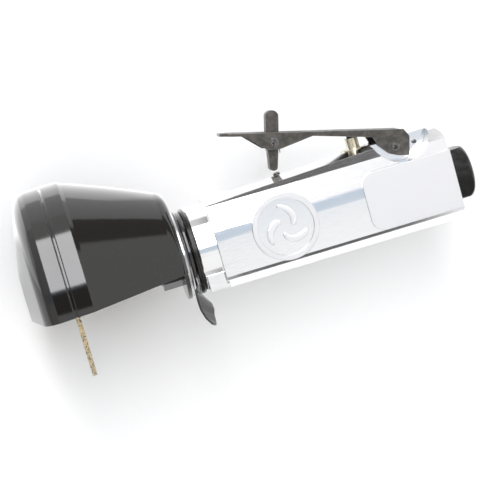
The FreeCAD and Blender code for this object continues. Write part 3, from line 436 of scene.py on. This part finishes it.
def abrasive(finish):
    """Resin-bonded grit: sand-coloured grains with dark and pale specks over a glass mesh."""
    material, tree, shader = new_material("abrasive")
    place = wire(tree, "ShaderNodeTexCoord").outputs["Object"]
    grains = wire(tree, "ShaderNodeTexVoronoi", {"Vector": place, "Scale": 1700.0},
                  feature="F1")
    tone = wire(tree, "ShaderNodeSeparateColor", {0: grains.outputs["Color"]}).outputs
    sand = blend_colour(tree, tone[0], tuple(finish.grit), (0.66, 0.54, 0.34, 1))
    dark = spread(tree, tone[1], 0.70, 0.78)
    pale = spread(tree, tone[2], 0.86, 0.90)
    sand = blend_colour(tree, dark, sand, (0.10, 0.075, 0.05, 1))
    sand = blend_colour(tree, pale, sand, (0.82, 0.76, 0.62, 1))
    x, y, z = wire(tree, "ShaderNodeSeparateXYZ", {0: place}).outputs
    lines = []
    for along, across in ((y, z), (z, y)):
        wave = maths(tree, "SINE", maths(tree, "MULTIPLY", along, 2 * math.pi / (2.4 * MM)))
        weave = maths(tree, "SINE", maths(tree, "MULTIPLY", across, math.pi / (2.4 * MM)))
        lines.append(maths(tree, "ADD", wave, maths(tree, "MULTIPLY", weave, 0.08)))
    mesh = spread(tree, maths(tree, "MAXIMUM", lines[0], lines[1]), 0.86, 0.99)
    height = maths(tree, "ADD", maths(tree, "MULTIPLY", grains.outputs["Distance"], 0.9),
                   maths(tree, "MULTIPLY", mesh, 0.35))
    sand = blend_colour(tree, maths(tree, "MULTIPLY", mesh, 0.35), sand, (0.40, 0.33, 0.22, 1))
    link(tree, sand, shader, "Base Color")
    shader.inputs["Roughness"].default_value = 0.85
    normal = wire(tree, "ShaderNodeNewGeometry").outputs["Normal"]
    link(tree, bump(tree, height, 0.9, 0.25 * MM, normal), shader, "Normal")
    return material


def give(material, *names):
    """Put one material on the named CAD nodes."""
    for name in names:
        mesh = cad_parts[name].data
        mesh.materials.clear()
        mesh.materials.append(material)


# ---------------------------------------------------------------- mesh helpers

def mesh_object(name, points, faces, material, body):
    """A smooth closed mesh with outward faces that rides on a body."""
    mesh = bpy.data.meshes.new(name)
    mesh.from_pydata([tuple(p) for p in points], [], [tuple(f) for f in faces])
    mesh.validate()
    outward = bmesh.new()
    outward.from_mesh(mesh)
    bmesh.ops.recalc_face_normals(outward, faces=outward.faces)
    outward.to_mesh(mesh)
    outward.free()
    mesh.polygons.foreach_set("use_smooth", np.ones(len(mesh.polygons), dtype=bool))
    mesh.update()
    mesh.materials.append(material)
    made = bpy.data.objects.new(name, mesh)
    bpy.context.scene.collection.objects.link(made)
    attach(made, body)
    return made


def closed_faces(steps, count):
    """Quads along a closed profile of count points carried over steps, with both ends shut."""
    row = np.arange(steps - 1)[:, None]
    column = np.arange(count)[None, :]
    beside = (column + 1) % count
    corners = (row * count + column, (row + 1) * count + column,
               (row + 1) * count + beside, row * count + beside)
    faces = [tuple(face) for face in np.stack(corners, -1).reshape(-1, 4)]
    last = (steps - 1) * count
    return faces + [tuple(range(count)), tuple(range(last + count - 1, last - 1, -1))]


# ---------------------------------------------------------------- operators

class CutoffStep:
    """What every step of the tool's looks shares."""
    bl_options = {"REGISTER", "UNDO"}


class CUTOFF_OT_node_groups(CutoffStep, bpy.types.Operator):
    """Build the shader node groups that several finishes share"""
    bl_idname = "cutoff.node_groups"
    bl_label = "Shared node groups"

    def execute(self, context):
        build_edge_group()
        build_grain_group()
        build_turning_group()
        build_dust_group()
        return {"FINISHED"}


class CUTOFF_OT_housing(CutoffStep, bpy.types.Operator):
    """Finish the housing in polished and satin aluminium"""
    bl_idname = "cutoff.housing"
    bl_label = "Housing"

    def execute(self, context):
        scene = context.scene
        give(polished_aluminium(scene.cutoff_finish, scene.cutoff_detail), "motor_housing")
        return {"FINISHED"}


class CUTOFF_OT_guard(CutoffStep, bpy.types.Operator):
    """Finish the guard and the finger stop in black enamel"""
    bl_idname = "cutoff.guard"
    bl_label = "Guard"

    def execute(self, context):
        give(black_enamel(context.scene.cutoff_finish),
             "guard_rear_shell", "guard_front_cover", "finger_stop")
        return {"FINISHED"}


class CUTOFF_OT_levers(CutoffStep, bpy.types.Operator):
    """Finish the throttle lever, the lock-off lever and their pins"""
    bl_idname = "cutoff.levers"
    bl_label = "Levers"

    def execute(self, context):
        finish = context.scene.cutoff_finish
        give(dark_steel("phosphated_steel", finish.phosphate, (0.130, 0.121, 0.110, 1),
                        0.40, 0.7, 0.3 * MM), "throttle_lever", "lock_lever")
        give(dark_steel("dark_steel_pin", (0.10, 0.098, 0.095, 1), (0.16, 0.158, 0.152, 1),
                        0.28, 1.0, 0.28 * MM),
             "lever_pin", "lever_stop_pin", "lock_pin", "stop_stud")
        return {"FINISHED"}


class CUTOFF_OT_black_steel(CutoffStep, bpy.types.Operator):
    """Finish the blackened steel pieces"""
    bl_idname = "cutoff.black_steel"
    bl_label = "Blackened steel"

    def execute(self, context):
        finish = context.scene.cutoff_finish
        give(dark_steel("black_oxide", finish.oxide, (0.030, 0.0285, 0.027, 1),
                        0.20, 0.55, 0.4 * MM),
             "inlet_bushing", "front_lock_ring", "guard_nut", "disc_screw")
        return {"FINISHED"}


class CUTOFF_OT_bright_steel(CutoffStep, bpy.types.Operator):
    """Finish the turned steel pieces and the springs"""
    bl_idname = "cutoff.bright_steel"
    bl_label = "Bright steel"

    def execute(self, context):
        give(turned_metal("bright_steel", context.scene.cutoff_finish.steel, 0.20,
                          (0.50, 0.50, 0.51, 1)),
             "friction_washer", "spring_washer", "inner_flange", "outer_flange", "arbor",
             "rotor", "cylinder_liner", "liner_pin", "front_end_plate", "rear_end_plate",
             "front_bearing_outer_race", "front_bearing_inner_race", "front_bearing_balls",
             "rear_bearing_outer_race", "rear_bearing_inner_race", "rear_bearing_balls",
             "inlet_screen", "valve_spring", "lock_spring")
        return {"FINISHED"}


class CUTOFF_OT_valve(CutoffStep, bpy.types.Operator):
    """Finish the brass plunger and bush, and the rubber pieces"""
    bl_idname = "cutoff.valve"
    bl_label = "Valve and seals"

    def execute(self, context):
        finish = context.scene.cutoff_finish
        give(turned_metal("brass", finish.brass, 0.24, (0.84, 0.72, 0.46, 1)),
             "valve_plunger", "valve_bush")
        give(soft_black("black_rubber", (0.02, 0.019, 0.018, 1), 0.55),
             "plunger_button", "valve_head", "inlet_seal")
        give(soft_black("vane_resin", (0.20, 0.11, 0.05, 1), 0.6), "rotor_vanes")
        return {"FINISHED"}


class CUTOFF_OT_disc(CutoffStep, bpy.types.Operator):
    """Finish the abrasive disc"""
    bl_idname = "cutoff.disc"
    bl_label = "Cutting disc"

    def execute(self, context):
        give(abrasive(context.scene.cutoff_finish), "cutting_disc")
        return {"FINISHED"}


class CUTOFF_OT_badge(CutoffStep, bpy.types.Operator):
    """Raise a plain three-bladed motif inside the badge ring"""
    bl_idname = "cutoff.badge"
    bl_label = "Badge motif"

    def execute(self, context):
        detail = context.scene.cutoff_detail
        material = bpy.data.materials["polished_aluminium"]
        centre = np.array([detail.badge_centre_x, detail.badge_centre_y, detail.side_plane])
        for blade in range(3):
            points, faces = badge_blade(centre, blade * 2 * math.pi / 3)
            mesh_object("badge_blade_" + str(blade + 1), points, faces, material,
                        "housing")
        return {"FINISHED"}


def badge_blade(centre, turn):
    """A low curved rib.

    Its middle line runs out from the badge's centre on a spiral, r growing
    evenly with the angle; its section is a flat-topped arch that narrows to
    nothing at both ends.
    """
    steps = 48
    t = np.linspace(0, 1, steps)
    radius = (2.6 + 6.6 * t) * MM
    angle = turn + 1.75 * t
    direction = np.stack([np.cos(angle), np.sin(angle), np.zeros(steps)], -1)
    path = centre + direction * radius[:, None] - np.array([0, 0, 0.1 * MM])
    tangent = np.gradient(path, axis=0)
    tangent /= np.linalg.norm(tangent, axis=1)[:, None]
    up = np.tile([0.0, 0.0, 1.0], (steps, 1))
    side = np.cross(up, tangent)
    width = 1.6 * MM * np.sin(np.pi * np.clip(t, 0.004, 0.996)) ** 0.35
    height = 0.62 * MM
    profile = np.array([(-1, 0), (-0.96, 0.7), (-0.82, 0.96), (-0.4, 1.0), (0.4, 1.0),
                        (0.82, 0.96), (0.96, 0.7), (1, 0)])
    lift = height * np.minimum(1, width / (0.7 * MM))
    points = (path[:, None, :] + side[:, None, :] * (width[:, None] * profile[:, 0])[:, :, None]
              + up[:, None, :] * (lift[:, None] * profile[:, 1])[:, :, None])
    return points.reshape(-1, 3), closed_faces(steps, len(profile))


class CUTOFF_OT_inlet_thread(CutoffStep, bpy.types.Operator):
    """Cut the hose thread as a helical ridge on the inlet's wall"""
    bl_idname = "cutoff.inlet_thread"
    bl_label = "Inlet thread"

    def execute(self, context):
        detail = context.scene.cutoff_detail
        points, faces = thread_ridge(detail.thread_radius, detail.thread_pitch)
        mesh_object("inlet_thread", points, faces, bpy.data.materials["black_oxide"],
                    "housing")
        return {"FINISHED"}


def thread_ridge(wall, pitch):
    """A helical ridge inside a bore: a triangular profile wound inwards along -X."""
    turns, per_turn = 8.5, 48
    steps = int(turns * per_turn)
    angle = np.linspace(0, 2 * math.pi * turns, steps)
    station = -0.7 * MM - pitch * angle / (2 * math.pi)
    ends = np.clip(np.minimum(angle, angle[-1] - angle) / 2.0, 0.02, 1)
    profile = np.array([(-0.48, -0.08), (-0.10, 0.42), (0.10, 0.42), (0.48, -0.08)])
    along = profile[:, 0][None, :] * pitch * ends[:, None]
    inward = profile[:, 1][None, :] * MM * np.where(profile[:, 1] > 0, ends[:, None], 1)
    radius = wall - inward
    points = np.stack([station[:, None] + along, radius * np.cos(angle)[:, None],
                       radius * np.sin(angle)[:, None]], -1)
    return points.reshape(-1, 3), closed_faces(steps, len(profile))


class CUTOFF_OT_stage(CutoffStep, bpy.types.Operator):
    """Lay the floor, hang the studio lights and set the camera"""
    bl_idname = "cutoff.stage"
    bl_label = "Stage"

    def execute(self, context):
        stage = context.scene.cutoff_stage
        lay_floor(stage)
        white_studio(context.scene, stage)
        hang_light("key_light", (-0.05, 0.25, 0.9), (-0.09, 0, 0), 0.8, stage.key_power)
        set_camera(context.scene, stage)
        context.scene.view_settings.view_transform = "Standard"
        return {"FINISHED"}


def lay_floor(stage):
    """A wide pale floor under the tool, plain to the camera; a painted glow, a strip of emission
    behind the lever that only reflections see, stands in for brightly lit paper there.
    """
    reach, drop = 3.0, CAD_LOW.z - 0.1 * MM
    mesh = bpy.data.meshes.new("floor")
    mesh.from_pydata([(-reach, -reach, drop), (reach, -reach, drop), (reach, reach, drop),
                      (-reach, reach, drop)], [], [(0, 1, 2, 3)])
    material, tree, shader = new_material("floor_paper")
    place = wire(tree, "ShaderNodeTexCoord").outputs["Object"]
    fibre = noise(tree, place, 900.0)
    shader.inputs["Base Color"].default_value = tuple(stage.floor_colour)
    x, y, z = wire(tree, "ShaderNodeSeparateXYZ", {0: place}).outputs
    # Painted glow: a strip of emission behind the lever, switched on only for glossy rays, so it
    # shows as a painted reflection of bright paper.
    glow = window(tree, y, 20 * MM, 30 * MM, stage.painted_glow_reach, stage.painted_glow_reach + 10 * MM)
    glow = maths(tree, "MULTIPLY", glow, spread(tree, x, -115 * MM, -95 * MM, 1.0, 0.0))
    mirrored = wire(tree, "ShaderNodeLightPath").outputs["Is Glossy Ray"]
    shader.inputs["Emission Color"].default_value = (1, 1, 1, 1)
    link(tree, maths(tree, "MULTIPLY", glow, maths(tree, "MULTIPLY", mirrored, stage.painted_glow_strength)),
         shader, "Emission Strength")
    shader.inputs["Roughness"].default_value = 0.9
    shader.inputs["Specular IOR Level"].default_value = 0.1
    normal = wire(tree, "ShaderNodeNewGeometry").outputs["Normal"]
    link(tree, bump(tree, fibre, 0.05, 0.05 * MM, normal), shader, "Normal")
    mesh.materials.append(material)
    floor = bpy.data.objects.new("floor", mesh)
    bpy.context.scene.collection.objects.link(floor)


def degrees(*angles):
    """The angles in radians."""
    return [math.radians(angle) for angle in angles]


def white_studio(scene, stage):
    """A white studio with dark cards low down, a cool gap overhead, a dark flag and a softbox.

    The tilt is the angle from overhead towards the lever's side, and x runs
    along the tool: the cards, the flag and the softbox are windows of both.
    """
    world = bpy.data.worlds.new("white_studio")
    world.use_nodes = True
    tree = world.node_tree
    tree.nodes.clear()
    direction = wire(tree, "ShaderNodeTexCoord").outputs["Generated"]
    x, y, z = wire(tree, "ShaderNodeSeparateXYZ", {0: direction}).outputs
    tilt = maths(tree, "ARCTAN2", y, z)
    steps = (
        (-90, (0.95, 0.95, 0.95)), (-8, (1.0, 1.0, 1.0)), (-4, (0.60, 0.68, 0.77)),
        (5, (0.58, 0.66, 0.76)), (9, (0.97, 0.97, 1.0)), (90, (1.0, 1.0, 1.0)),
    )
    ramp = tree.nodes.new("ShaderNodeValToRGB")
    elements = ramp.color_ramp.elements
    while len(elements) < len(steps):
        elements.new(0.5)
    for element, (angle, colour) in zip(elements, steps):
        element.position = (angle + 90) / 180
        element.color = colour + (1,)
    along = wire(tree, "ShaderNodeMapRange", {"Value": tilt, "From Min": -math.pi / 2,
                                              "From Max": math.pi / 2}).outputs["Result"]
    tree.links.new(along, ramp.inputs[0])
    low = spread(tree, maths(tree, "ABSOLUTE", tilt), *degrees(54, 60))
    card = maths(tree, "ADD", window(tree, x, 0.070, 0.095, 0.205, 0.225),
                 spread(tree, x, 0.33, 0.42), clamp=True)
    shade = maths(tree, "SUBTRACT", spread(tree, x, -0.75, -0.35, 0.5, 1.0),
                  maths(tree, "MULTIPLY", maths(tree, "MULTIPLY", low, card), 0.87))
    box = maths(tree, "MULTIPLY", window(tree, tilt, *degrees(6, 9, 66, 69)),
                spread(tree, maths(tree, "ABSOLUTE", x), 0.09, 0.12, 1.0, 0.0))
    flag = maths(tree, "MULTIPLY", window(tree, tilt, *degrees(-20, -17, 3, 6)),
                 window(tree, x, -0.24, -0.20, 0.03, 0.06))
    level = maths(tree, "ADD", shade, maths(tree, "MULTIPLY", box, stage.softbox))
    level = maths(tree, "MULTIPLY", level, maths(tree, "SUBTRACT", 1.0, flag))
    lit = wire(tree, "ShaderNodeBackground",
               {"Color": blend_colour(tree, spread(tree, x, 0.22, 0.30), ramp.outputs[0],
                                      (0.97, 0.97, 0.97, 1)),
                "Strength": maths(tree, "MULTIPLY", level, stage.sky_strength)})
    plain = wire(tree, "ShaderNodeBackground", {"Color": tuple(stage.floor_colour), "Strength": 1.0})
    seen = wire(tree, "ShaderNodeLightPath").outputs["Is Camera Ray"]
    both = wire(tree, "ShaderNodeMixShader", {0: seen, 1: lit.outputs[0], 2: plain.outputs[0]})
    output = tree.nodes.new("ShaderNodeOutputWorld")
    tree.links.new(both.outputs[0], output.inputs["Surface"])
    scene.world = world


def hang_light(name, place, aim, size, power):
    """A square soft light that looks at a point and stays out of the reflections."""
    light = bpy.data.lights.new(name, "AREA")
    light.shape = "SQUARE"
    light.size = size
    light.energy = power
    made = bpy.data.objects.new(name, light)
    made.location = place
    made.visible_glossy = False
    made.rotation_euler = (Vector(aim) - Vector(place)).to_track_quat("-Z", "Y").to_euler()
    bpy.context.scene.collection.objects.link(made)


def set_camera(scene, stage):
    """A camera over the disc's plane, rolled so that the tool rises to the right."""
    data = bpy.data.cameras.new("camera")
    data.lens = stage.lens
    data.sensor_width = 36
    data.clip_start = 0.01
    made = bpy.data.objects.new("camera", data)
    place = Vector((DISC_PLANE, stage.camera_rise, stage.camera_height))
    forward = (Vector((stage.target_x, stage.target_y, 0)) - place).normalized()
    upward = Vector((math.sin(stage.roll), math.cos(stage.roll), 0))
    right = forward.cross(upward).normalized()
    upward = right.cross(forward)
    turn = Matrix((right, upward, -forward)).transposed()
    made.matrix_world = Matrix.Translation(place) @ turn.to_4x4()
    scene.collection.objects.link(made)
    scene.camera = made


class CUTOFF_PT_panel(bpy.types.Panel):
    """The tool's settings and steps"""
    bl_label = "Cut-off tool"
    bl_idname = "CUTOFF_PT_panel"
    bl_space_type = "VIEW_3D"
    bl_region_type = "UI"
    bl_category = "Cut-off tool"

    def draw(self, context):
        layout = self.layout
        for name, group in SETTINGS:
            box = layout.box()
            for prop in group.__annotations__:
                box.prop(getattr(context.scene, name), prop)
        for step in STEPS:
            layout.operator(step.bl_idname)


STEPS = (
    CUTOFF_OT_stage, CUTOFF_OT_node_groups, CUTOFF_OT_housing, CUTOFF_OT_guard,
    CUTOFF_OT_levers, CUTOFF_OT_black_steel, CUTOFF_OT_bright_steel, CUTOFF_OT_valve,
    CUTOFF_OT_disc, CUTOFF_OT_badge, CUTOFF_OT_inlet_thread,
)
CLASSES = tuple(group for _, group in SETTINGS) + STEPS + (CUTOFF_PT_panel,)


def register():
    """Register every class and hang the settings on the scene."""
    for cls in CLASSES:
        bpy.utils.register_class(cls)
    for name, group in SETTINGS:
        setattr(bpy.types.Scene, name, bpy.props.PointerProperty(type=group))


def unregister():
    """Take the settings and the classes away again."""
    for name, _ in SETTINGS:
        delattr(bpy.types.Scene, name)
    for cls in reversed(CLASSES):
        bpy.utils.unregister_class(cls)


def main():
    """Run every step in order."""
    register()
    for step in STEPS:
        group, name = step.bl_idname.split(".")
        getattr(getattr(bpy.ops, group), name)()


if __name__ == "__main__":
    main()
